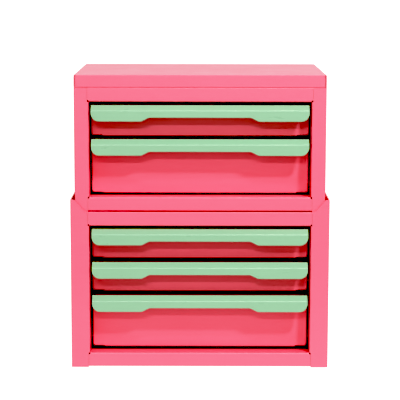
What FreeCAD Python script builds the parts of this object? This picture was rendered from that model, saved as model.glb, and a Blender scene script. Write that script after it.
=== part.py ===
"""A desktop drawer organizer of folded sheet steel: a two-drawer case with a lid that
stands between the raised ears of a wider three-drawer case.

Millimetres. X runs across the front, Y from front to back, Z up. The origin is at the
middle of the footprint, level with the soles of the feet, and the drawers face -Y.
"""
import FreeCAD, Part
import math
import os

import Sketcher

# Driving sizes: each has its cell and alias in the sheet.
SIZES = [
    ("case_sheet", 1.0, "sheet of the two cases and the lid"),
    ("drawer_sheet", 0.8, "sheet of the drawer boxes"),
    ("runner_sheet", 1.0, "sheet of the runners"),
    ("handle_sheet", 1.0, "sheet of the handles"),
    ("fold_share", 0.9, "outside radius of a fold, as a share of its sheet"),
    ("opening_fold_share", 1.5, "outside radius of the folds round an opening, as that share"),
    ("seam", 0.2, "gap between a rail and the stile beside it"),
    ("top_stile", 15.1, "width of the upper case's front stile"),
    ("floor_rail", 14.5, "height of the rail below the drawers"),
    ("roof_rail", 14.7, "height of the rail above the drawers"),
    ("frame_return", 17.5, "depth that the stiles and rails turn inwards"),
    ("rail_lip", 6.0, "small flange behind each rail"),
    ("floor_lift", 1.0, "how far a floor lies above the lower edge of its sides"),
    ("pan_flange", 10.0, "flange round the floor and the roof"),
    ("corner_notch", 2.5, "relief cut at a pan's rear corners"),
    ("rear_flange", 12.0, "flange of a side that carries the back"),
    ("ear_height", 12.8, "how far the lower case's ears stand above its roof"),
    ("ear_gap_side", 3.5, "gap between an ear and the upper case's side"),
    ("ear_gap_front", 1.0, "gap between an ear's flange and the upper case's front"),
    ("ear_top_width", 4.0, "width of an ear's front flange at its tip"),
    ("ear_root_width", 15.0, "width of an ear's front flange at the roof"),
    ("foot_height", 2.5, "how far the feet hold the sides off the desk"),
    ("foot_radius", 7.0, "radius of a rubber foot"),
    ("foot_edge", 1.0, "rounding round a foot's sole"),
    ("foot_inset", 22.0, "distance of a foot's centre from the case's edges"),
    ("lid_height", 13.0, "height of the lid's skirt"),
    ("lid_hem", 10.0, "inward flange round the foot of the lid's skirt"),
    ("lid_slit", 0.5, "open seam at each corner of the lid's skirt"),
    ("lid_relief", 2.0, "relief cut at each top corner of the lid"),
    ("screw_radius", 1.5, "radius of a lid screw's shank"),
    ("screw_head", 2.8, "radius of a lid screw's head"),
    ("screw_head_height", 2.0, "height of a lid screw's head"),
    ("screw_end", 2.0, "how far a lid screw stands past the lid's flange"),
    ("screw_setback", 30.0, "distance of a lid screw from the case's front or back"),
    ("screw_slot_length", 3.4, "length of the cross in a screw's head"),
    ("screw_slot_width", 0.8, "width of the cross in a screw's head"),
    ("screw_slot_depth", 1.0, "depth of the cross in a screw's head"),
    ("screw_clearance", 0.2, "room round a screw in the roof"),
    ("thread_clearance", 0.05, "room round a screw or a rivet in its tight hole"),
    ("drawer_width", 226.4, "width of a drawer's front"),
    ("shallow_front", 29.7, "height of a shallow drawer's front"),
    ("deep_front", 54.5, "height of a deep drawer's front"),
    ("drawer_gap", 5.65, "gap between one drawer's front and the next"),
    ("top_sill_gap", 1.65, "gap between the upper case's lowest front and its floor rail"),
    ("base_sill_gap", 2.4, "gap between the lower case's lowest front and its floor rail"),
    ("head_gap", 7.3, "gap between the top front and the roof rail"),
    ("top_side_gap", 1.7, "gap beside a front in the upper case"),
    ("base_side_gap", 2.0, "gap beside a front in the lower case"),
    ("front_recess", 19.0, "how far the fronts stand behind the frame"),
    ("box_length", 157.7, "length of an upper drawer's box behind its front sheet"),
    ("rear_gap", 0.5, "gap between a shut drawer and the case's back"),
    ("drawer_travel", 120.0, "how far a drawer slides before its tabs catch"),
    ("stop_gap", 0.2, "gap left between a tab and the stile at full travel"),
    ("stop_bite", 0.7, "how far a tab reaches behind the stile, in case sheets"),
    ("stop_height", 8.0, "height of a stop tab"),
    ("stop_level", 12.0, "level of a stop tab's lower edge in its drawer"),
    ("front_return", 10.0, "flanges behind a drawer's front"),
    ("front_corner", 3.0, "radius of a front's lower corners"),
    ("front_end", 12.0, "length at each end of a front without the lower flange"),
    ("top_return", 8.0, "flange behind a front's top edge"),
    ("return_gap", 3.0, "gap between a front's top flange and its side flanges"),
    ("side_drop", 3.0, "how far a drawer's side lies below its front's top"),
    ("hem_height", 5.0, "folded hem along the top of a drawer's side"),
    ("back_flange", 8.0, "flanges of a drawer's back"),
    ("weld_gap", 0.2, "small gap between welded flanges that end side by side"),
    ("handle_inset", 0.5, "how far a handle stops short of its front's ends"),
    ("handle_reach", 21.0, "how far a handle's lip stands before the front"),
    ("handle_rise", 4.0, "how far a handle's crest stands above the front's top"),
    ("handle_facet", 6.0, "depth of the facet that slopes from the crest to the lip"),
    ("handle_drop", 5.5, "fall of that facet"),
    ("handle_height", 16.8, "height of a handle at its ends, from crest to foot"),
    ("handle_raise", 4.0, "how much higher the lip is in the middle"),
    ("handle_bend", 2.0, "outside radius of the fold above the lip"),
    ("handle_corner", 8.5, "radius of the lip's lower corners"),
    ("handle_curve", 6.0, "radius of the curves beside the raised middle"),
    ("handle_edge", 0.3, "softened edge of the lip"),
    ("raise_inner", 52.7, "half length of the raised middle at its top"),
    ("raise_outer", 60.7, "half length of the raised middle at its foot"),
    ("handle_flange", 9.6, "height of the flange riveted to the front"),
    ("flange_setback", 8.0, "how much shorter that flange is at each end"),
    ("rivet_inner", 58.0, "distance of the inner rivets from the middle"),
    ("rivet_outer", 98.0, "distance of the outer rivets from the middle"),
    ("rivet_level", 5.4, "level of the rivets below the front's top"),
    ("rivet_radius", 1.6, "radius of a rivet's shank"),
    ("rivet_head", 3.0, "radius of a rivet's head"),
    ("rivet_head_height", 1.2, "height of a rivet's head"),
    ("rivet_tail", 2.3, "radius of a rivet's set end"),
    ("rivet_tail_height", 1.6, "height of a rivet's set end"),
    ("leaf_width", 9.2, "width of the leaf that a drawer slides on"),
    ("guide_gap", 0.6, "gap between a drawer's side and its runner's guide"),
    ("guide_height", 8.0, "height of a runner's guide above its leaf"),
    ("wall_flange", 9.0, "flange that welds a runner to the case's side"),
    ("runner_setback", 2.5, "gap between a front's flanges and the runner's end"),
    ("cut_margin", 1.0, "how far a cut runs past the sheet"),
]


class Size:
    """A length with both its number and the formula in sheet cells that gives it."""

    def __init__(self, value, formula):
        self.value = float(value)
        self.formula = formula

    def __add__(self, other):
        other = as_size(other)
        return Size(self.value + other.value, f"({self.formula} + {other.formula})")

    def __sub__(self, other):
        other = as_size(other)
        return Size(self.value - other.value, f"({self.formula} - {other.formula})")

    def __mul__(self, other):
        other = as_size(other)
        return Size(self.value * other.value, f"({self.formula} * {other.formula})")

    def __truediv__(self, other):
        other = as_size(other)
        return Size(self.value / other.value, f"({self.formula} / {other.formula})")

    def __neg__(self):
        return self * -1

    def __radd__(self, other):
        return as_size(other) + self

    def __rsub__(self, other):
        return as_size(other) - self

    def __rmul__(self, other):
        return as_size(other) * self

    def root(self):
        return Size(math.sqrt(self.value), f"sqrt({self.formula})")


def as_size(number):
    """Plain numbers such as 2 or -1 join a formula as they are."""
    return number if isinstance(number, Size) else Size(number, str(number))


doc = FreeCAD.newDocument("DrawerOrganizer")
sheet = doc.addObject("Spreadsheet::Sheet", "Sizes")
size = {}
for row, (alias, number, meaning) in enumerate(SIZES, start=1):
    sheet.set(f"A{row}", meaning)
    sheet.set(f"B{row}", str(number))
    sheet.setAlias(f"B{row}", alias)
    size[alias] = Size(number, f"Sizes.{alias}")
doc.recompute()

ZERO = Size(0, "0")
SAME_PLACE = 1e-4  # coordinates nearer than this count as the same
LEAST_CUT = 1e-6  # a cut that takes away less than this has missed
PLANES = {"xy": "XY_Plane", "xz": "XZ_Plane", "yz": "YZ_Plane"}
parts = []


def new_part(label, several=False):
    """An empty body; several lets it hold a group of separate solids."""
    body = doc.addObject("PartDesign::Body", label)
    body.Label = label
    body.AllowCompound = several
    parts.append(body)
    return body


def bind(item, prop, length):
    """Give a property its number and the formula that drives it."""
    item.setExpression(prop, length.formula)


def pin(sketch, line, across, up):
    """Fix a line's start or a circle's centre at its distances from the origin."""
    point = 3 if isinstance(sketch.Geometry[line], Part.Circle) else 1
    for kind, length in (("DistanceX", across), ("DistanceY", up)):
        made = sketch.addConstraint(Sketcher.Constraint(kind, -1, 1, line, point, length.value))
        bind(sketch, f"Constraints[{made}]", length)


def draw_polygon(sketch, corners):
    """Lines from corner to corner, each corner pinned by its two distances."""
    corners = [(as_size(across), as_size(up)) for across, up in corners]
    points = [FreeCAD.Vector(across.value, up.value, 0) for across, up in corners]
    count = len(points)
    first = sketch.GeometryCount
    lines = [Part.LineSegment(points[i], points[(i + 1) % count]) for i in range(count)]
    sketch.addGeometry(lines, False)
    joints = [Sketcher.Constraint("Coincident", first + i, 2, first + (i + 1) % count, 1)
              for i in range(count)]
    sketch.addConstraint(joints)
    for i, (across, up) in enumerate(corners):
        pin(sketch, first + i, across, up)


def draw_circle(sketch, centre, radius):
    """A circle with its centre pinned and its radius driven."""
    across, up = (as_size(value) for value in centre)
    middle = FreeCAD.Vector(across.value, up.value, 0)
    line = sketch.GeometryCount
    sketch.addGeometry(Part.Circle(middle, FreeCAD.Vector(0, 0, 1), radius.value), False)
    pin(sketch, line, across, up)
    made = sketch.addConstraint(Sketcher.Constraint("Radius", line, radius.value))
    bind(sketch, f"Constraints[{made}]", radius)


def outline(body, plane, start, polygons=(), circles=()):
    """A sketch parallel to one of the body's own planes, at start along its normal.

    The normal of the xz plane points to -Y, so its offset is taken the other way.
    """
    sketch = body.newObject("Sketcher::SketchObject", f"{body.Name}_outline")
    support = [item for item in body.Origin.OriginFeatures if item.Role == PLANES[plane]][0]
    sketch.AttachmentSupport = [(support, "")]
    sketch.MapMode = "FlatFace"
    offset = -start if plane == "xz" else start
    bind(sketch, "AttachmentOffset.Base.z", offset)
    for corners in polygons:
        draw_polygon(sketch, corners)
    for centre, radius in circles:
        draw_circle(sketch, centre, radius)
    return sketch


def extrude(kind, body, plane, start, end, polygons, circles, away):
    """A pad or pocket of the outline, from start to end along the plane's axis."""
    start, end = as_size(start), as_size(end)
    sketch = outline(body, plane, start, polygons, circles)
    feature = body.newObject(kind, f"{body.Name}_{kind.split('::')[1].lower()}")
    feature.Profile = sketch
    feature.Reversed = away
    bind(feature, "Length", end - start)
    doc.recompute()
    return feature


def add(body, plane, start, end, *polygons, circles=()):
    """Material from start to end; the xz plane's own direction is the opposite one."""
    extrude("PartDesign::Pad", body, plane, start, end, polygons, circles, plane == "xz")


def cut(body, plane, start, end, *polygons, circles=()):
    """Take material away from start to end, and make sure that some was there."""
    before = body.Tip.Shape.Volume
    feature = extrude("PartDesign::Pocket", body, plane, start, end, polygons, circles,
                      plane != "xz")
    if feature.Shape.Volume > before - LEAST_CUT:
        raise ValueError(f"{body.Label}: a cut took nothing away")


def straight_edges(shape, axis, first, second):
    """Names of the edges along an axis that pass through the two other coordinates."""
    others = [name for name in "xyz" if name != axis]
    names = []
    for number, edge in enumerate(shape.Edges, start=1):
        if edge.Curve.TypeId != "Part::GeomLine":
            continue
        ends = [vertex.Point for vertex in edge.Vertexes]
        near = all(abs(getattr(end, name) - value) < SAME_PLACE
                   for end in ends for name, value in zip(others, (first, second)))
        if near:
            names.append(f"Edge{number}")
    return names


def rim_edges(shape, axis, level):
    """Names of the edges that lie in the plane across an axis at a level."""
    return [f"Edge{number}" for number, edge in enumerate(shape.Edges, start=1)
            if abs(getattr(edge.BoundBox, f"{axis.upper()}Min") - level) < SAME_PLACE
            and abs(getattr(edge.BoundBox, f"{axis.upper()}Max") - level) < SAME_PLACE]


def highest(body, names, axis):
    """The highest coordinate that any of the named edges reaches along an axis."""
    return max(getattr(body.Tip.getSubObject(name).BoundBox, f"{axis}Max") for name in names)


def fillet(body, radius, names):
    """Round the named edges of the body's last feature."""
    if not names:
        raise ValueError(f"{body.Label}: no such edge to round")
    base = body.Tip
    feature = body.newObject("PartDesign::Fillet", f"{body.Name}_round")
    feature.Base = (base, names)
    bind(feature, "Radius", radius)
    doc.recompute()


def round_lines(body, radius, *lines):
    """Round the edges given as an axis and the two coordinates they run through."""
    names = []
    for axis, first, second in lines:
        found = straight_edges(body.Tip.Shape, axis, as_size(first).value, as_size(second).value)
        if not found:
            raise ValueError(f"{body.Label}: no edge along {axis} to round")
        names += found
    fillet(body, radius, names)


def place(body, across=ZERO, back=ZERO, up=ZERO, upside_down=False):
    """Put the body in the frame; upside down turns it half round the Y axis."""
    turn = 180 if upside_down else 0
    body.Placement = FreeCAD.Placement(FreeCAD.Vector(), FreeCAD.Rotation(FreeCAD.Vector(0, 1, 0), turn))
    for axis, length in (("x", across), ("y", back), ("z", up)):
        bind(body, f"Placement.Base.{axis}", length)


def box(low, high):
    """The four corners of a rectangle, from its low corner to its high one."""
    (left, low_up), (right, high_up) = low, high
    return [(left, low_up), (right, low_up), (right, high_up), (left, high_up)]


def mirrored(half):
    """A closed outline from the corners of its right half, listed from low to high."""
    return half + [(-across, up) for across, up in reversed(half)]


case_sheet = size["case_sheet"]
drawer_sheet = size["drawer_sheet"]
case_fold = size["fold_share"] * case_sheet
opening_fold = size["opening_fold_share"] * case_sheet
drawer_fold = size["fold_share"] * drawer_sheet
half_front = size["drawer_width"] / 2
half_tray = half_front - drawer_sheet


class Drawer:
    """One drawer: its front's height, and the level of its lower edge in the frame."""

    def __init__(self, number, height, level):
        self.label = f"drawer_{number}"
        self.number = number
        self.height = height
        self.level = level
        self.side_top = height - size["side_drop"]


class Case:
    """One case: where its sheets stand, and the drawers it holds from the lowest up."""

    def __init__(self, label, bottom, half_opening, half_width, half_depth, sill, heights, ears):
        self.label = label
        self.bottom = bottom
        self.half_opening = half_opening
        self.half_width = half_width
        self.half_depth = half_depth
        self.ears = ears
        self.half_inside = half_width - case_sheet
        self.front = -half_depth
        self.jamb_back = size["frame_return"] - half_depth
        self.face = size["front_recess"] - half_depth
        self.back_panel = half_depth - case_sheet * 2
        self.box_end = self.back_panel - size["rear_gap"]
        self.drawers = []
        self.sill = bottom + size["floor_lift"] + size["floor_rail"]
        level = self.sill + sill
        for number, height in heights:
            self.drawers.append(Drawer(number, height, level))
            level = level + height + size["drawer_gap"]
        self.head = level - size["drawer_gap"] + size["head_gap"]
        self.top = self.head + size["roof_rail"]


def case_side(case, side, label):
    """One side: wall, front stile with its return, rear flange and, below, the ear.

    Beside the two rails the stile has no return, and its front ends at the rail's plate.
    """
    body = new_part(label)
    outer = side * case.half_width
    inner = side * case.half_inside
    opening = side * case.half_opening
    behind = side * (case.half_opening + case_sheet)
    flange = side * (case.half_width - size["rear_flange"])
    stile_back = case.front + case_sheet
    wall_end = case.half_depth - case_sheet
    ear_top = case.top + case.ears
    add(body, "xy", case.bottom, ear_top, [
        (outer, case.front), (opening, case.front), (opening, case.jamb_back),
        (behind, case.jamb_back), (behind, stile_back), (inner, stile_back),
        (inner, wall_end), (flange, wall_end), (flange, case.half_depth),
        (outer, case.half_depth)])
    round_lines(body, case_fold, ("z", outer, case.front), ("z", outer, case.half_depth))
    round_lines(body, opening_fold, ("z", opening, case.front))
    margin = size["cut_margin"]
    fold_zone = box((opening - side * margin, case.front - margin),
                    (opening + side * opening_fold, case.jamb_back + margin))
    cut(body, "xy", case.bottom - margin, case.sill, fold_zone)
    cut(body, "xy", case.head, case.top + margin, fold_zone)
    if case.ears.value:
        root = side * (case.half_width - size["ear_root_width"])
        tip = side * (case.half_width - size["ear_top_width"])
        inside = opening - side * margin
        cut(body, "xz", case.front - margin, case.half_depth + margin, [
            (inside, case.top), (root, case.top), (tip, ear_top), (tip, ear_top + margin),
            (inside, ear_top + margin)])
    place(body)


def case_back(case, label):
    """The flat back, between the sides' rear flanges and the pans' flanges."""
    body = new_part(label)
    low = case.bottom + size["floor_lift"]
    add(body, "xz", case.back_panel, case.half_depth - case_sheet,
        box((-case.half_inside, low), (case.half_inside, case.top)))
    place(body)


def case_pan(case, rail, label, holes=()):
    """A floor, lying the right way up, with its flanges and its folded front rail.

    A roof is the same pan upside down. Its outer face is at its own zero level. The rail's
    front plate runs past the opening to the stiles, with a small notch above its fold.
    """
    body = new_part(label)
    notch = size["corner_notch"]
    wide = case.half_inside
    narrow = case.half_opening - size["seam"]
    front, rear = case.front, case.back_panel
    step = front + case_sheet
    flange = size["pan_flange"]
    add(body, "xy", ZERO, case_sheet, mirrored([
        (narrow, front), (narrow, step), (wide, step), (wide, rear - notch),
        (wide - notch, rear - notch), (wide - notch, rear)]))
    sides = [box((wide - case_sheet, step), (wide, rear - notch)),
             box((case_sheet - wide, step), (-wide, rear - notch))]
    back = box((notch - wide, rear - case_sheet), (wide - notch, rear))
    add(body, "xy", ZERO, flange, *sides, back)
    lip = rail - size["rail_lip"]
    add(body, "yz", -narrow, narrow, [
        (front, ZERO), (front, rail), (case.jamb_back, rail), (case.jamb_back, lip),
        (case.jamb_back - case_sheet, lip), (case.jamb_back - case_sheet, rail - case_sheet),
        (step, rail - case_sheet), (step, ZERO)])
    plate_end = case.half_opening + opening_fold - size["seam"]
    plate_top = rail - opening_fold - size["seam"]
    add(body, "xz", front, step, *[box((side * narrow, ZERO), (side * plate_end, plate_top))
                                   for side in (-1, 1)])
    round_lines(body, opening_fold, ("x", front, rail))
    round_lines(body, case_fold, ("x", front, ZERO), ("x", case.jamb_back, rail),
                ("x", rear, ZERO), ("y", wide, ZERO), ("y", -wide, ZERO))
    if holes:
        cut(body, "xy", ZERO, case_sheet, circles=holes)
    return body


def case_floor(case, label):
    body = case_pan(case, size["floor_rail"], label)
    place(body, up=case.bottom + size["floor_lift"])


def case_roof(case, label, holes=()):
    body = case_pan(case, size["roof_rail"], label, holes)
    place(body, up=case.top, upside_down=True)


def runner(case, drawer, side, label):
    """A folded runner: wall flange, web, guide beside the drawer and leaf below it."""
    body = new_part(label)
    gauge = size["runner_sheet"]
    guide = half_tray + size["guide_gap"]
    leaf_end = guide - size["leaf_width"]
    wall = case.half_inside
    leaf_top = drawer.level + drawer_sheet
    web_top = leaf_top + size["guide_height"]
    flange_top = web_top + size["wall_flange"]
    start = case.face + size["front_return"] + size["runner_setback"]
    corners = [
        (leaf_end, leaf_top - gauge), (guide + gauge, leaf_top - gauge),
        (guide + gauge, web_top - gauge), (wall, web_top - gauge), (wall, flange_top),
        (wall - gauge, flange_top), (wall - gauge, web_top), (guide, web_top),
        (guide, leaf_top), (leaf_end, leaf_top)]
    add(body, "xz", start, case.back_panel, [(side * across, up) for across, up in corners])
    round_lines(body, size["fold_share"] * gauge,
                ("y", side * (guide + gauge), leaf_top - gauge),
                ("y", side * wall, web_top - gauge), ("y", side * guide, web_top))
    place(body)


def tray(case, drawer):
    """The drawer's floor and sides in one sheet, with hems and a stop tab each side."""
    body = new_part(f"{drawer.label}_tray")
    gauge = drawer_sheet
    end = case.box_end - case.face
    top = drawer.side_top
    hem = top - size["hem_height"]
    inner = half_tray - gauge
    add(body, "xz", gauge, end, mirrored([
        (half_tray, gauge), (half_tray, top), (inner - gauge, top), (inner - gauge, hem),
        (inner, hem), (inner, gauge * 2)]))
    round_lines(body, drawer_fold, *[("y", side * across, up) for side in (-1, 1)
                for across, up in ((half_tray, gauge), (half_tray, top), (inner - gauge, top))])
    reach = case.half_opening + size["stop_bite"] * case_sheet - half_tray
    stop = size["drawer_travel"] + size["frame_return"] + size["stop_gap"] - size["front_recess"]
    low = size["stop_level"]
    high = low + size["stop_height"]
    for side in (-1, 1):
        add(body, "xy", low, high,
            box((side * inner, stop), (side * (half_tray + reach), stop + gauge)))
        cut(body, "xy", low, high,
            box((side * inner, stop + gauge), (side * half_tray, stop + gauge + reach)))
    place(body, back=case.face, up=drawer.level)


def front(case, drawer, holes):
    """The drawer's front sheet with flanges behind its sides, top and lower edge."""
    body = new_part(f"{drawer.label}_front")
    gauge = drawer_sheet
    corner = size["front_corner"]
    short = half_front - size["front_end"]
    top = drawer.height
    add(body, "xz", ZERO, gauge, mirrored([
        (short, ZERO), (short, gauge), (half_front, gauge), (half_front, top)]))
    round_lines(body, corner, ("y", half_front, gauge), ("y", -half_front, gauge))
    flanges = [box((side * (half_front - gauge), ZERO), (side * half_front, size["front_return"]))
               for side in (-1, 1)]
    add(body, "xy", gauge + corner, top, *flanges)
    reach = half_front - size["return_gap"]
    add(body, "xy", top - gauge, top, box((-reach, ZERO), (reach, size["top_return"])))
    add(body, "xy", ZERO, gauge, box((-short, ZERO), (short, size["front_return"])))
    round_lines(body, drawer_fold, ("x", ZERO, ZERO), ("x", ZERO, top),
                ("z", half_front, ZERO), ("z", -half_front, ZERO))
    cut(body, "xz", ZERO, gauge, circles=holes)
    place(body, back=case.face, up=drawer.level)


def back(case, drawer):
    """The drawer's rear wall, with flanges on the floor and against the sides."""
    body = new_part(f"{drawer.label}_back")
    gauge = drawer_sheet
    end = case.box_end - case.face
    wide = half_tray - gauge
    flange = end - size["back_flange"]
    floor = gauge * 2
    top = drawer.side_top - size["hem_height"] - size["weld_gap"]
    add(body, "xy", floor, top, mirrored([
        (wide - gauge, end - gauge), (wide - gauge, flange), (wide, flange), (wide, end)]))
    foot = wide - gauge - size["weld_gap"]
    add(body, "xy", floor, floor + gauge, box((-foot, flange), (foot, end - gauge)))
    round_lines(body, drawer_fold, ("z", wide, end), ("z", -wide, end), ("x", end, floor))
    place(body, back=case.face, up=drawer.level)


def handle(case, drawer, holes):
    """The full-width pull: a web rising forwards, a facet, a hanging lip, a rear flange.

    The web rises from the front's top edge to the crest, the facet falls from the crest
    to the lip, and the flange hangs behind on the front. Each sheet's lower face lies
    one gauge, measured square to the sheet, below its upper one.
    """
    body = new_part(f"{drawer.label}_handle")
    gauge = size["handle_sheet"]
    half = half_front - size["handle_inset"]
    reach = size["handle_reach"]
    crest_reach = reach - size["handle_facet"]
    top = drawer.height
    crest = top + size["handle_rise"]
    fold = crest - size["handle_drop"]
    foot = crest - size["handle_height"]
    rise = size["handle_rise"] / crest_reach
    fall = size["handle_drop"] / size["handle_facet"]
    under_web = gauge * (rise * rise + 1).root()
    under_facet = gauge * (fall * fall + 1).root()
    lip_back = gauge - reach
    inner_fold = crest - under_facet + fall * (lip_back + crest_reach)
    inner_reach = (fall * crest_reach + size["handle_rise"] + under_web - under_facet) / (fall + rise)
    inner_crest = top - under_web + rise * inner_reach
    add(body, "yz", -half, half, [
        (ZERO, top), (-crest_reach, crest), (-reach, fold), (-reach, foot), (lip_back, foot),
        (lip_back, inner_fold), (-inner_reach, inner_crest), (ZERO, top - under_web)])
    inner, outer = size["raise_inner"], size["raise_outer"]
    raised = foot + size["handle_raise"]
    margin = size["cut_margin"]
    cut(body, "xz", -reach - margin, lip_back + margin, mirrored([
        (outer, foot - margin), (outer, foot), (inner, raised)]))
    curves = [("y", side * across, up) for side in (-1, 1)
              for across, up in ((outer, foot), (inner, raised))]
    round_lines(body, size["handle_curve"], *curves)
    round_lines(body, size["handle_corner"], ("y", half, foot), ("y", -half, foot))
    flange_front = -gauge
    flange_half = half_front - size["flange_setback"]
    flange_foot = top - size["handle_flange"]
    add(body, "yz", -flange_half, flange_half, [
        (ZERO, top - under_web), (flange_front, top - under_web + rise * gauge),
        (flange_front, flange_foot), (ZERO, flange_foot)])
    round_lines(body, size["handle_bend"], ("x", -reach, fold))
    round_lines(body, size["fold_share"] * gauge, ("x", ZERO, top), ("x", -crest_reach, crest))
    rim = rim_edges(body.Tip.Shape, "y", -reach.value)
    bend_line = straight_edges(body.Tip.Shape, "x", -reach.value, highest(body, rim, "Z"))
    fillet(body, size["handle_edge"], [name for name in rim if name not in bend_line])
    cut(body, "xz", flange_front, ZERO, circles=holes)
    place(body, back=case.face, up=drawer.level)


def rivets(case, drawer, centres):
    """The rivets that hold the handle: head under the lip, set end in the drawer."""
    body = new_part(f"{drawer.label}_rivets", several=True)
    gauge = size["handle_sheet"]
    head = -gauge - size["rivet_head_height"]
    tail = drawer_sheet + size["rivet_tail_height"]
    add(body, "xz", -gauge, drawer_sheet,
        circles=[(centre, size["rivet_radius"]) for centre in centres])
    add(body, "xz", head, -gauge, circles=[(centre, size["rivet_head"]) for centre in centres])
    add(body, "xz", drawer_sheet, tail,
        circles=[(centre, size["rivet_tail"]) for centre in centres])
    fillet(body, size["rivet_head_height"] * size["fold_share"],
           rim_edges(body.Tip.Shape, "y", head.value))
    place(body, back=case.face, up=drawer.level)


def drawer_parts(case, drawer):
    """Every sheet of one drawer, its handle and the rivets between them."""
    level = drawer.height - size["rivet_level"]
    centres = [(side * across, level) for side in (-1, 1)
               for across in (size["rivet_inner"], size["rivet_outer"])]
    hole = size["rivet_radius"] + size["thread_clearance"]
    holes = [(centre, hole) for centre in centres]
    tray(case, drawer)
    front(case, drawer, holes)
    back(case, drawer)
    handle(case, drawer, holes)
    rivets(case, drawer, centres)


def lid(case, screws):
    """The lid: a plate with a skirt all round and a flange turned in at its foot."""
    body = new_part("lid")
    bottom = case.top
    top = bottom + size["lid_height"]
    wide, deep = case.half_width, case.half_depth
    skirt_in = [(wide - case_sheet), (deep - case_sheet)]
    hem_in = [length - size["lid_hem"] for length in skirt_in]
    add(body, "xy", bottom, top, box((-wide, -deep), (wide, deep)))
    cut(body, "xy", bottom, top - case_sheet,
        box((-skirt_in[0], -skirt_in[1]), (skirt_in[0], skirt_in[1])))
    add(body, "xy", bottom, bottom + case_sheet,
        box((-skirt_in[0], -skirt_in[1]), (skirt_in[0], skirt_in[1])),
        box((-hem_in[0], -hem_in[1]), (hem_in[0], hem_in[1])))
    round_lines(body, case_fold, *[("x", side * deep, level) for side in (-1, 1)
                                   for level in (bottom, top)],
                *[("y", side * wide, level) for side in (-1, 1) for level in (bottom, top)])
    relief, slit = size["lid_relief"], size["lid_slit"]
    margin = size["cut_margin"]
    corners = [(across, along) for across in (-1, 1) for along in (-1, 1)]
    cut(body, "xy", top - relief, top + margin, *[
        box((across * (wide - relief), along * (deep - relief)),
            (across * (wide + margin), along * (deep + margin))) for across, along in corners])
    cut(body, "xy", bottom - margin, top - relief, *[
        box((across * (skirt_in[0] - slit), along * skirt_in[1]),
            (across * skirt_in[0], along * (deep + margin))) for across, along in corners])
    hole = size["screw_radius"] + size["thread_clearance"]
    cut(body, "xy", bottom, bottom + case_sheet, circles=[(centre, hole) for centre in screws])
    place(body)


def lid_screws(case, screws):
    """Cross-head screws up through the roof into the lid's flange."""
    body = new_part("lid_screws", several=True)
    under = case.top - case_sheet
    head = under - size["screw_head_height"]
    end = case.top + case_sheet + size["screw_end"]
    add(body, "xy", head, under, circles=[(centre, size["screw_head"]) for centre in screws])
    add(body, "xy", under, end, circles=[(centre, size["screw_radius"]) for centre in screws])
    fillet(body, size["screw_slot_depth"] / 2, rim_edges(body.Tip.Shape, "z", head.value))
    half_length, half_width = size["screw_slot_length"] / 2, size["screw_slot_width"] / 2
    for along, across in ((half_length, half_width), (half_width, half_length)):
        cut(body, "xy", head, head + size["screw_slot_depth"], *[
            box((x - along, y - across), (x + along, y + across)) for x, y in screws])
    place(body)


def rubber_feet(case):
    """Four round feet under the floor, their soles at the frame's zero level."""
    body = new_part("rubber_feet", several=True)
    across = case.half_width - size["foot_inset"]
    along = case.half_depth - size["foot_inset"]
    feet = [((x * across, y * along), size["foot_radius"]) for x in (-1, 1) for y in (-1, 1)]
    add(body, "xy", ZERO, case.bottom + size["floor_lift"], circles=feet)
    fillet(body, size["foot_edge"], rim_edges(body.Tip.Shape, "z", 0))
    place(body)


def case_parts(case, roof_holes=()):
    """The welded sheets of one case, its runners and its drawers."""
    for side, word in ((-1, "left"), (1, "right")):
        case_side(case, side, f"{case.label}_{word}_side")
        for drawer in case.drawers:
            runner(case, drawer, side, f"runner_{drawer.number}_{word}")
    case_back(case, f"{case.label}_back")
    case_floor(case, f"{case.label}_floor")
    case_roof(case, f"{case.label}_roof", roof_holes)
    for drawer in case.drawers:
        drawer_parts(case, drawer)


def check_and_write():
    """Refuse anything that failed or is not a sound solid, then write every part."""
    for item in doc.Objects:
        if "Invalid" in item.State or "Error" in item.State:
            raise ValueError(f"{item.Label} failed: {item.State}")
    os.makedirs("parts", exist_ok=True)
    for body in parts:
        shape = body.Shape
        if shape.isNull() or not shape.isValid() or not shape.Solids:
            raise ValueError(f"{body.Label} is not a valid solid")
        shape.exportStep(os.path.join("parts", f"{body.Label}.step"))
        print(f"{body.Label}: {len(shape.Solids)} solid(s), {shape.Volume:.0f} mm3")


top_half_opening = half_front + size["top_side_gap"]
top_half_width = top_half_opening + size["top_stile"]
top_half_depth = (size["front_recess"] + drawer_sheet + size["box_length"]
                  + size["rear_gap"] + case_sheet * 2) / 2
base_half_width = top_half_width + size["ear_gap_side"] + case_sheet
base_half_depth = top_half_depth + size["ear_gap_front"] + case_sheet
shallow, deep = size["shallow_front"], size["deep_front"]

base = Case("base", size["foot_height"], half_front + size["base_side_gap"], base_half_width,
            base_half_depth, size["base_sill_gap"], ((5, deep), (4, shallow), (3, shallow)),
            size["ear_height"])
upper = Case("top", base.top, top_half_opening, top_half_width, top_half_depth,
             size["top_sill_gap"], ((2, deep), (1, shallow)), ZERO)

screw_across = upper.half_inside - size["lid_hem"] / 2
screw_along = upper.half_depth - size["screw_setback"]
screw_centres = [(x * screw_across, y * screw_along) for x in (-1, 1) for y in (-1, 1)]
roof_hole = size["screw_radius"] + size["screw_clearance"]

case_parts(base)
case_parts(upper, [(centre, roof_hole) for centre in screw_centres])
lid(upper, screw_centres)
lid_screws(upper, screw_centres)
rubber_feet(base)
doc.recompute()
check_and_write()
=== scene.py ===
# %% [markdown]
# # A desktop drawer organizer
# Two folded steel cases stand on each other, pink, with five drawers behind mint green
# pulls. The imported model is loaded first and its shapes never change: this script adds no
# piece and only gives each one its finish. One Blender unit is one metre, Z is up and the
# drawers face -Y.

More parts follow.
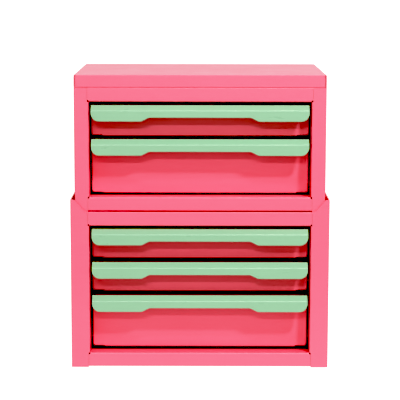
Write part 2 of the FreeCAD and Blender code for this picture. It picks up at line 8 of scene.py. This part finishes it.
import math
import bpy
import numpy as np
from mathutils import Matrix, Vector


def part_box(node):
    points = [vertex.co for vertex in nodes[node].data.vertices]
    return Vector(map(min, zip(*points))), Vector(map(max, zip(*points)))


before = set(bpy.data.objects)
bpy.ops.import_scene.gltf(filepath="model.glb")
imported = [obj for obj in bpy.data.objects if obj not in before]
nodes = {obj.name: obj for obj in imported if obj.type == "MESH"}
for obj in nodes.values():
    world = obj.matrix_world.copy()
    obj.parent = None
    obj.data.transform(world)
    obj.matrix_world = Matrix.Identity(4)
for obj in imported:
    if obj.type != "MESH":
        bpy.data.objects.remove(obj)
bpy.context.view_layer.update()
scene = bpy.context.scene
MM = 0.001

# %% [markdown]
# ## Camera
# A long lens far in front of the cases, a little above them and looking down 8.5 degrees,
# keeps the uprights parallel and still shows a strip of the lid. The lens comes from the
# ratio between the focal length and the picture's width, both in pixels.

# %% Camera
PICTURE_WIDTH = 400
FOCAL_PIXELS = 1578
SENSOR_WIDTH = 36
CAMERA_PLACE = (-0.0004, -1.709, 0.4226)
CAMERA_PITCH = 8.52
CAMERA_ROLL = -0.1

camera = bpy.data.objects.new("camera", bpy.data.cameras.new("camera"))
scene.collection.objects.link(camera)
scene.camera = camera
camera.data.sensor_width = SENSOR_WIDTH
camera.data.lens = SENSOR_WIDTH * FOCAL_PIXELS / PICTURE_WIDTH
camera.data.clip_end = 100
camera.location = CAMERA_PLACE
camera.rotation_euler = (math.radians(90 - CAMERA_PITCH), math.radians(CAMERA_ROLL), 0)
print("lens", round(camera.data.lens, 1), "mm")

# %% [markdown]
# ## Light
# How the picture was really lit is not known. This set of lights is one that reproduces
# its shadows: a small box high on the right for the slanting shadows under the pulls, one
# above, a long one in front that fills those shadows, and a faint one lower down. Their
# strengths came from fitting many candidate lights to the picture's brightness, and were
# then adjusted by number. Each box is an area light that looks at the middle
# of the cases, and its strength is the brightness that it alone would give white paper.

# %% Light
AIM = (0, -0.09, 0.16)
DISTANCE = 1.9
SOFT_BOXES = {
    "box_high": dict(azimuth=38, elevation=45, size=(0.18, 0.12), strength=0.66),
    "box_above": dict(azimuth=13, elevation=57, size=(0.3, 0.12), strength=0.31),
    "box_low": dict(azimuth=-6, elevation=28, size=(0.8, 0.08), strength=0.31),
    "box_front": dict(azimuth=0, elevation=8, size=(1.6, 0.30), strength=0.09),
}


def direction(azimuth, elevation):
    """Unit vector towards a light: azimuth turns from -Y towards +X, elevation lifts it."""
    turn, lift = math.radians(azimuth), math.radians(elevation)
    return np.array([math.sin(turn) * math.cos(lift), -math.cos(turn) * math.cos(lift),
                     math.sin(lift)])


def area_light(name, place, turn, size, power):
    """A rectangular area light at a place, turned by these degrees from facing down."""
    light = bpy.data.lights.new(name, "AREA")
    light.shape = "RECTANGLE"
    light.size, light.size_y = size
    light.energy = power
    lamp = bpy.data.objects.new(name, light)
    scene.collection.objects.link(lamp)
    lamp.location = place
    lamp.rotation_euler = [math.radians(angle) for angle in turn]


def soft_box(name, azimuth, elevation, size, strength):
    """An area light at DISTANCE from AIM; power = pi squared x distance squared x strength."""
    place = np.array(AIM) + direction(azimuth, elevation) * DISTANCE
    power = (math.pi * DISTANCE) ** 2 * strength
    area_light(name, place, (90 - elevation, 0, azimuth), size, power)


for name, values in SOFT_BOXES.items():
    soft_box(name, **values)
print(len(SOFT_BOXES), "soft boxes")

# %% [markdown]
# ## Picture contrast
# The shaded paint in the picture lacks about the same amount of green and blue everywhere,
# and its red stops short of full strength however bright the light. Light and paint alone
# did not reproduce either. A raised black point and a soft shoulder in red do, so they are
# applied to the finished light. They are a choice that fits this picture and not a measured
# fact about it, and the paint colours below depend on them.

# %% Picture contrast
BLACK_POINT = (0.05, 0.10, 0.14)
BRIGHTEST = 2.0  # the curves run from 0 to this
RED_SHOULDER = [(0.4, 0.4), (0.82, 0.82), (1.2, 0.935), (1.55, 1.0)]  # (light, shown)
RED_END = 1.3
PAPER_WHITE = (1.8, 1.2, 1.2, 1)  # bright enough to be shown as pure white past the curves

view = scene.view_settings
view.view_transform = "Standard"
view.use_curve_mapping = True
tones = view.curve_mapping
tones.clip_max_x = tones.clip_max_y = BRIGHTEST
tones.black_level = BLACK_POINT
tones.white_level = [1 + level for level in BLACK_POINT]
red, green, blue, all_channels = tones.curves
for curve in (green, blue, all_channels):
    curve.points[-1].location = (BRIGHTEST, BRIGHTEST)
red.points[-1].location = (BRIGHTEST, RED_END)
for point in RED_SHOULDER:
    red.points.new(*point)
tones.update()
print("black point", BLACK_POINT, "red shoulder", RED_SHOULDER)

# %% [markdown]
# ## Shader expressions
# A finish is a small calculation that runs at every point of a surface. Blender writes it
# as nodes and links. Here a socket is wrapped so that Python's own operators make the
# nodes, and a finish then reads as the formula that it is.

# %% Shader expressions
class Value:
    """A shader socket that can be added to, multiplied and so on, as a Python number can."""

    def __init__(self, tree, socket):
        self.tree, self.socket = tree, socket

    def math(self, operation, *others):
        return node(self.tree, "ShaderNodeMath", {"operation": operation},
                    dict(enumerate((self, *others))))

    def __add__(self, other):
        return self.math("ADD", other)

    def __mul__(self, other):
        return self.math("MULTIPLY", other)

    def __sub__(self, other):
        return self.math("SUBTRACT", other)

    def __rsub__(self, other):
        return node(self.tree, "ShaderNodeMath", {"operation": "SUBTRACT"}, {0: other, 1: self})

    def __abs__(self):
        return self.math("ABSOLUTE")

    __radd__ = __add__
    __rmul__ = __mul__

    def ramp(self, start, end):
        """0 up to start, 1 from end on, and a soft S curve between them."""
        return node(self.tree, "ShaderNodeMapRange", {"interpolation_type": "SMOOTHSTEP"},
                    {"Value": self, "From Min": start, "From Max": end})


def node(tree, kind, settings=None, inputs=None, output=0):
    """Add a node: its settings first, then a value or a link for each socket.

    The answer is one of its outputs, by number or name, or None where it has none.
    """
    made = tree.nodes.new(kind)
    for key, value in (settings or {}).items():
        setattr(made, key, value)
    for key, value in (inputs or {}).items():
        if isinstance(value, Value):
            tree.links.new(value.socket, made.inputs[key])
        else:
            made.inputs[key].default_value = value
    return Value(tree, made.outputs[output]) if made.outputs else None


MIX_FACTOR, MIX_FIRST, MIX_SECOND, MIX_RESULT = 0, 6, 7, 2  # a Mix node's colour sockets


def blend(factor, first, second):
    """The first colour where the factor is 0, the second where it is 1."""
    return node(factor.tree, "ShaderNodeMix", {"data_type": "RGBA"},
                {MIX_FACTOR: factor, MIX_FIRST: first, MIX_SECOND: second}, MIX_RESULT)


def noise(place, wavelength, detail=2.0):
    """Soft random bumps about one wavelength apart, from 0 to 1 with a mean of one half."""
    return node(place.tree, "ShaderNodeTexNoise", None,
                {"Vector": place, "Scale": 1 / wavelength, "Detail": detail})


def stretched(place, scale):
    """The place with each axis multiplied, which draws a pattern out along the others."""
    return node(place.tree, "ShaderNodeMapping", None, {"Vector": place, "Scale": scale})


def axes(place):
    """The three coordinates of a place as values of their own."""
    apart = place.tree.nodes.new("ShaderNodeSeparateXYZ")
    place.tree.links.new(place.socket, apart.inputs[0])
    return [Value(place.tree, socket) for socket in apart.outputs]


def new_material(name):
    """An empty material, its node tree, and the place on the piece in metres."""
    material = bpy.data.materials.new(name)
    material.use_nodes = True
    tree = material.node_tree
    tree.nodes.clear()
    return material, tree, node(tree, "ShaderNodeTexCoord", output="Object")


def finish_surface(tree, **sockets):
    """The Principled shader with these sockets, led to the output."""
    names = {key: key.replace("_", " ").title().replace("Ior", "IOR") for key in sockets}
    shader = node(tree, "ShaderNodeBsdfPrincipled", None,
                  {names[key]: value for key, value in sockets.items()})
    node(tree, "ShaderNodeOutputMaterial", None, {"Surface": shader})


def relief(tree, *layers):
    """A normal bent by layers of height, each a value and its depth in metres."""
    normal = None
    for height, depth in layers:
        inputs = {"Strength": 1.0, "Distance": depth, "Height": height}
        if normal is not None:
            inputs["Normal"] = normal
        normal = node(tree, "ShaderNodeBump", None, inputs)
    return normal


BEVEL_SAMPLES = 4
EDGE_START, EDGE_END = 0.01, 0.2  # how far the normals part where the mask starts and ends


def edge(tree, width):
    """1 along every outer edge and fold, 0 on flat sheet, over about this width.

    The bevel node gives the normal that a rounded edge would have, and the mask is how
    far that turns away from the real normal.
    """
    bevel = node(tree, "ShaderNodeBevel", {"samples": BEVEL_SAMPLES}, {"Radius": width})
    flat = node(tree, "ShaderNodeNewGeometry", output="Normal")
    facing = node(tree, "ShaderNodeVectorMath", {"operation": "DOT_PRODUCT"},
                  {0: bevel, 1: flat}, "Value")
    return (1 - facing).ramp(EDGE_START, EDGE_END)


print("helpers ready")

# %% [markdown]
# ## Spot welds
# Runners and backs are held by spot welds. The electrodes press a shallow round dent into
# both sheets, and the paint softens it. The dents stand in rows, so the distance to the
# nearest one is worked out by folding the row onto a single dent, and no shape has to be
# cut. The picture shows neither the sides nor the back, so these dents and their depth are
# an assumption about how such cases are joined. At this depth they can't be seen. Those of
# the backs lie under the rear flanges of the sides as well.

# %% Spot welds
WELD_RADIUS = 2.6 * MM
WELD_FLOOR = 0.55  # flat middle of a dent, as a share of its radius
WELD_PITCH = 34 * MM
RUNNER_WELD_DROP = 4.5 * MM  # from a runner's top down to its row of dents
BACK_WELD_INSET = 6 * MM  # from a back's end in to its row of dents


def weld_row(along, across, start, end, level):
    """Dents one pitch apart from start to end: 1 in the middle of each, 0 outside it."""
    count = max(round((end - start) / WELD_PITCH), 1)
    pitch = (end - start) / count
    row_start, row_end = start - pitch / 2, end + pitch / 2
    folded = (along - row_start).math("WRAP", pitch, 0.0) - pitch / 2
    away = across - level
    distance = (folded * folded + away * away).math("SQRT")
    after_start = (along - row_start).math("GREATER_THAN", 0.0)
    before_end = (along - row_end).math("LESS_THAN", 0.0)
    dent = 1 - distance.ramp(WELD_RADIUS * WELD_FLOOR, WELD_RADIUS)
    return dent * (after_start * before_end)


def rows_together(rows):
    """The deepest of several rows of dents."""
    deepest = rows[0]
    for row in rows[1:]:
        deepest = deepest.math("MAXIMUM", row)
    return deepest


def runner_welds(numbers):
    """Rows of dents in a case's sides, level with the flanges of its runners."""

    def rows(place):
        _, along, up = axes(place)
        found = []
        for number in numbers:
            low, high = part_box(f"runner_{number}_left")
            found.append(weld_row(along, up, low[1] + WELD_PITCH / 2, high[1] - WELD_PITCH / 2,
                                  high[2] - RUNNER_WELD_DROP))
        return rows_together(found)
    return rows


def back_welds(node_name):
    """Rows of dents down both ends of a back, where the sides' flanges carry it."""
    low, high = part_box(node_name)

    def rows(place):
        across, _, up = axes(place)
        return weld_row(up, abs(across), low[2] + WELD_PITCH / 2, high[2] - WELD_PITCH / 2,
                        high[0] - BACK_WELD_INSET)
    return rows


print("dents", WELD_PITCH / MM, "mm apart")

# %% [markdown]
# ## Powder coat
# Powder is sprayed dry and baked, and it flows into an even skin about 0.07 mm thick.
# Three things set it apart from plastic. The skin has a faint orange peel, waves a
# millimetre or two long. The pigment is never perfectly mixed, so the colour drifts a
# little over a few centimetres and from grain to grain. And the skin grows thinner over
# outer edges and folds, where it is smoother and a touch lighter; that lighter colour is
# partly a painted highlight, which stands in for the light that rounded folds catch.
# Rubbing dulls the open faces. The picture also shows faint level lines. They are taken
# for the lines of the rolled sheet under the skin, though the picture's compression could
# have made them. From this far off the relief hardly counts, so colour and roughness do
# most of it.

# %% Powder coat
PEEL_WAVE, PEEL_DEPTH = 1.6 * MM, 0.012 * MM
GRAIN_WAVE, GRAIN_DEPTH = 0.35 * MM, 0.0016 * MM
DRIFT_WAVE = 45 * MM
RUB_WAVE, RUB_STRETCH = 22 * MM, (1, 1, 6)
ROLL_WAVE, ROLL_STRETCH = 18 * MM, (1, 1, 16)
WELD_DEPTH = 0.09 * MM
EDGE_WIDTH = 0.9 * MM
DARKEST = 0.93  # the darkest pigment, as a share of the base colour
# The edge share lightens outer edges and folds: partly thinner powder, partly a painted highlight.
LIGHTEST, EDGE_THIN_PAINT_AND_HIGHLIGHT = 0.022, 0.07  # how far the lightest tones go from the base to white
PAINT_GLOSS = 0.5
PINK = (0.93, 0.160, 0.262, 1)
PINK_ROUGHNESS = 0.34
MINT = (0.252, 0.485, 0.342, 1)
MINT_ROUGHNESS = 0.30


def towards_white(base, share):
    """The base colour moved this share of the way to white."""
    return tuple(channel + (1 - channel) * share for channel in base[:3]) + (1,)


def powder_coat(name, base, roughness, welds=None):
    """A finish of one powder, with rows of weld dents where welds gives them."""
    material, tree, place = new_material(name)
    drift = noise(place, DRIFT_WAVE)
    grain = noise(place, GRAIN_WAVE)
    rubbed = noise(stretched(place, RUB_STRETCH), RUB_WAVE, detail=4.0)
    rolled = noise(stretched(place, ROLL_STRETCH), ROLL_WAVE)
    # The edge mask: smoother, thinner powder, and a lighter colour that is partly a painted
    # highlight.
    thin_paint_and_highlight = edge(tree, EDGE_WIDTH)
    darker = tuple(channel * DARKEST for channel in base[:3]) + (1,)
    lighter = towards_white(base, LIGHTEST)
    pigment = blend(drift * 0.35 + grain * 0.15 + rubbed * 0.2 + rolled * 0.3, darker, lighter)
    layers = [(noise(place, PEEL_WAVE, detail=1.0), PEEL_DEPTH), (grain, GRAIN_DEPTH)]
    if welds:
        layers.append((1 - welds(place), WELD_DEPTH))
    finish_surface(
        tree,
        base_color=blend(thin_paint_and_highlight * 0.6, pigment, towards_white(base, EDGE_THIN_PAINT_AND_HIGHLIGHT)),
        roughness=roughness + (rubbed - 0.5) * 0.14 - thin_paint_and_highlight * 0.05,
        specular_ior_level=PAINT_GLOSS,
        normal=relief(tree, *layers))
    return material


pink = powder_coat("pink_powder_coat", PINK, PINK_ROUGHNESS)
mint = powder_coat("mint_powder_coat", MINT, MINT_ROUGHNESS)
weld_rows = {
    "base_left_side": runner_welds((3, 4, 5)),
    "base_right_side": runner_welds((3, 4, 5)),
    "top_left_side": runner_welds((1, 2)),
    "top_right_side": runner_welds((1, 2)),
    "base_back": back_welds("base_back"),
    "top_back": back_welds("top_back"),
}
welded = {name: powder_coat(f"pink_{name}", PINK, PINK_ROUGHNESS, rows)
          for name, rows in weld_rows.items()}
print(len(welded) + 2, "powder coats")

# %% [markdown]
# ## Zinc and rubber
# Screws and rivets are plated with bright zinc. Its crystals catch the light as small
# flat patches, and heads rub bright on their edges. The feet are moulded in soft black
# rubber with a fine matt grain, and their soles gather pale dust.

# %% Zinc
SPANGLE = 0.9 * MM
ZINC_DARK, ZINC_LIGHT = (0.50, 0.51, 0.50, 1), (0.74, 0.73, 0.69, 1)

zinc, tree, place = new_material("zinc_plate")
crystal = node(tree, "ShaderNodeTexVoronoi", None, {"Vector": place, "Scale": 1 / SPANGLE}, "Color")
shade = axes(crystal)[0]
brushed = noise(stretched(place, (8, 1, 1)), 2 * MM, detail=3.0)
bright = edge(tree, 0.4 * MM)
finish_surface(
    tree,
    base_color=blend(shade * 0.6 + bright * 0.4, ZINC_DARK, ZINC_LIGHT),
    metallic=1.0,
    roughness=0.26 + shade * 0.10 + brushed * 0.12 - bright * 0.08,
    normal=relief(tree, (brushed, 0.004 * MM), (shade, 0.003 * MM)))
print("crystals", SPANGLE / MM, "mm apart")

# %% Rubber
RUBBER, DUST = (0.018, 0.018, 0.019, 1), (0.16, 0.155, 0.15, 1)
DUST_START, DUST_END = 0.1 * MM, 1.2 * MM  # height above the desk where the dust fades out

rubber, tree, place = new_material("foot_rubber")
grain = noise(place, 0.5 * MM, detail=3.0)
dust = (1 - axes(place)[2].ramp(DUST_START, DUST_END)) * noise(place, 4 * MM).ramp(0.35, 0.7)
finish_surface(
    tree,
    base_color=blend(dust * 0.5 + grain * 0.1, RUBBER, DUST),
    roughness=0.72 + grain * 0.16 + dust * 0.08,
    normal=relief(tree, (grain, 0.03 * MM)))
print("dust up to", DUST_END / MM, "mm")

# %% [markdown]
# ## Finishes on the pieces
# In the workshop whole cases and drawers are coated in one go, and only the pulls, the
# fixings and the feet are finished apart. Each piece already says which of these four it
# is, so its finish is looked up. The sides and the backs have their own row of welds and
# take their own copy of the pink.

# %% Finishes on the pieces
FINISHES = {"pink_paint": pink, "mint_paint": mint, "zinc": zinc, "rubber": rubber}
for name, piece in nodes.items():
    for slot in piece.material_slots:
        slot.material = welded.get(name) or FINISHES[slot.material.name.split(".")[0]]
finishes = [piece.material_slots[0].material.name for piece in nodes.values()]
print({name: finishes.count(name) for name in sorted(set(finishes))})

# %% [markdown]
# ## White room
# The background is paper that the camera sees as pure white. The paint is lit by less than
# that, and not evenly: the ceiling is the dimmest, the paper on the table and the room in
# front are brighter, and the wall behind is the brightest and gives the lid its pale
# sheen. The world mixes the four by the direction that a ray leaves in. Like the boxes,
# they are a choice that fits the picture.

# %% White room
ROOM = (0.80, 0.80, 0.80, 1)
CEILING = (0.10, 0.10, 0.10, 1)
WALL = (1.15, 1.15, 1.22, 1)
TABLE = (0.50, 0.50, 0.50, 1)
CEILING_START, CEILING_END = 0.35, 0.75  # share of the direction that points up
WALL_START, WALL_END = 0.3, 0.6  # share of the direction that points to the rear
HORIZON = 0.02

world = bpy.data.worlds.new("white_room")
world.use_nodes = True
scene.world = world
tree = world.node_tree
tree.nodes.clear()
ray = node(tree, "ShaderNodeTexCoord", output="Generated")
_, backwards, upwards = axes(ray)
room = blend(upwards.ramp(CEILING_START, CEILING_END), ROOM, CEILING)
above = blend(backwards.ramp(WALL_START, WALL_END), room, WALL)
around = blend(upwards.ramp(-HORIZON, HORIZON), TABLE, above)
seen = node(tree, "ShaderNodeLightPath", output="Is Camera Ray")
shown = blend(seen, around, PAPER_WHITE)
background = node(tree, "ShaderNodeBackground", None, {"Color": shown, "Strength": 1.0})
node(tree, "ShaderNodeOutputWorld", None, {"Surface": background})
print("room", ROOM[0], "ceiling", CEILING[0], "wall", WALL[0], "table", TABLE[0])

# %% [markdown]
# ## Floor
# White paper lit from below, as on a light table, so that no shadow stays round the feet.
# Only the patch close to the cases adds light of its own to them: a flat lamp that faces
# up does that, and the paper itself is left out of the light that bounces.

# %% Floor
FLOOR_RADIUS = 25
FLOOR_SIDES = 64
PAPER_DARK, PAPER_LIGHT = (0.22, 0.22, 0.22, 1), (0.26, 0.26, 0.26, 1)
PATCH_PLACE = (0, -0.1, 0.001)
PATCH_SIZE = (0.62, 0.62)
PATCH_STRENGTH = 0.60
FACING_UP = (180, 0, 0)

mesh = bpy.data.meshes.new("floor")
turns = np.linspace(0, 2 * np.pi, FLOOR_SIDES, endpoint=False)
rim = np.stack([np.cos(turns) * FLOOR_RADIUS, np.sin(turns) * FLOOR_RADIUS, turns * 0], 1)
mesh.from_pydata(rim.tolist(), [], [list(range(FLOOR_SIDES))])
floor = bpy.data.objects.new("floor", mesh)
scene.collection.objects.link(floor)
paper, tree, place = new_material("floor_paper")
fibre = noise(place, 3 * MM, detail=4.0)
finish_surface(tree, base_color=blend(fibre, PAPER_DARK, PAPER_LIGHT),
               roughness=0.9, emission_color=PAPER_WHITE, emission_strength=1.0)
mesh.materials.append(paper)
floor.visible_diffuse = False
floor.visible_glossy = False
area_light("patch", PATCH_PLACE, FACING_UP, PATCH_SIZE,
           math.pi * PATCH_SIZE[0] * PATCH_SIZE[1] * PATCH_STRENGTH)
print("floor", 2 * FLOOR_RADIUS, "m across")
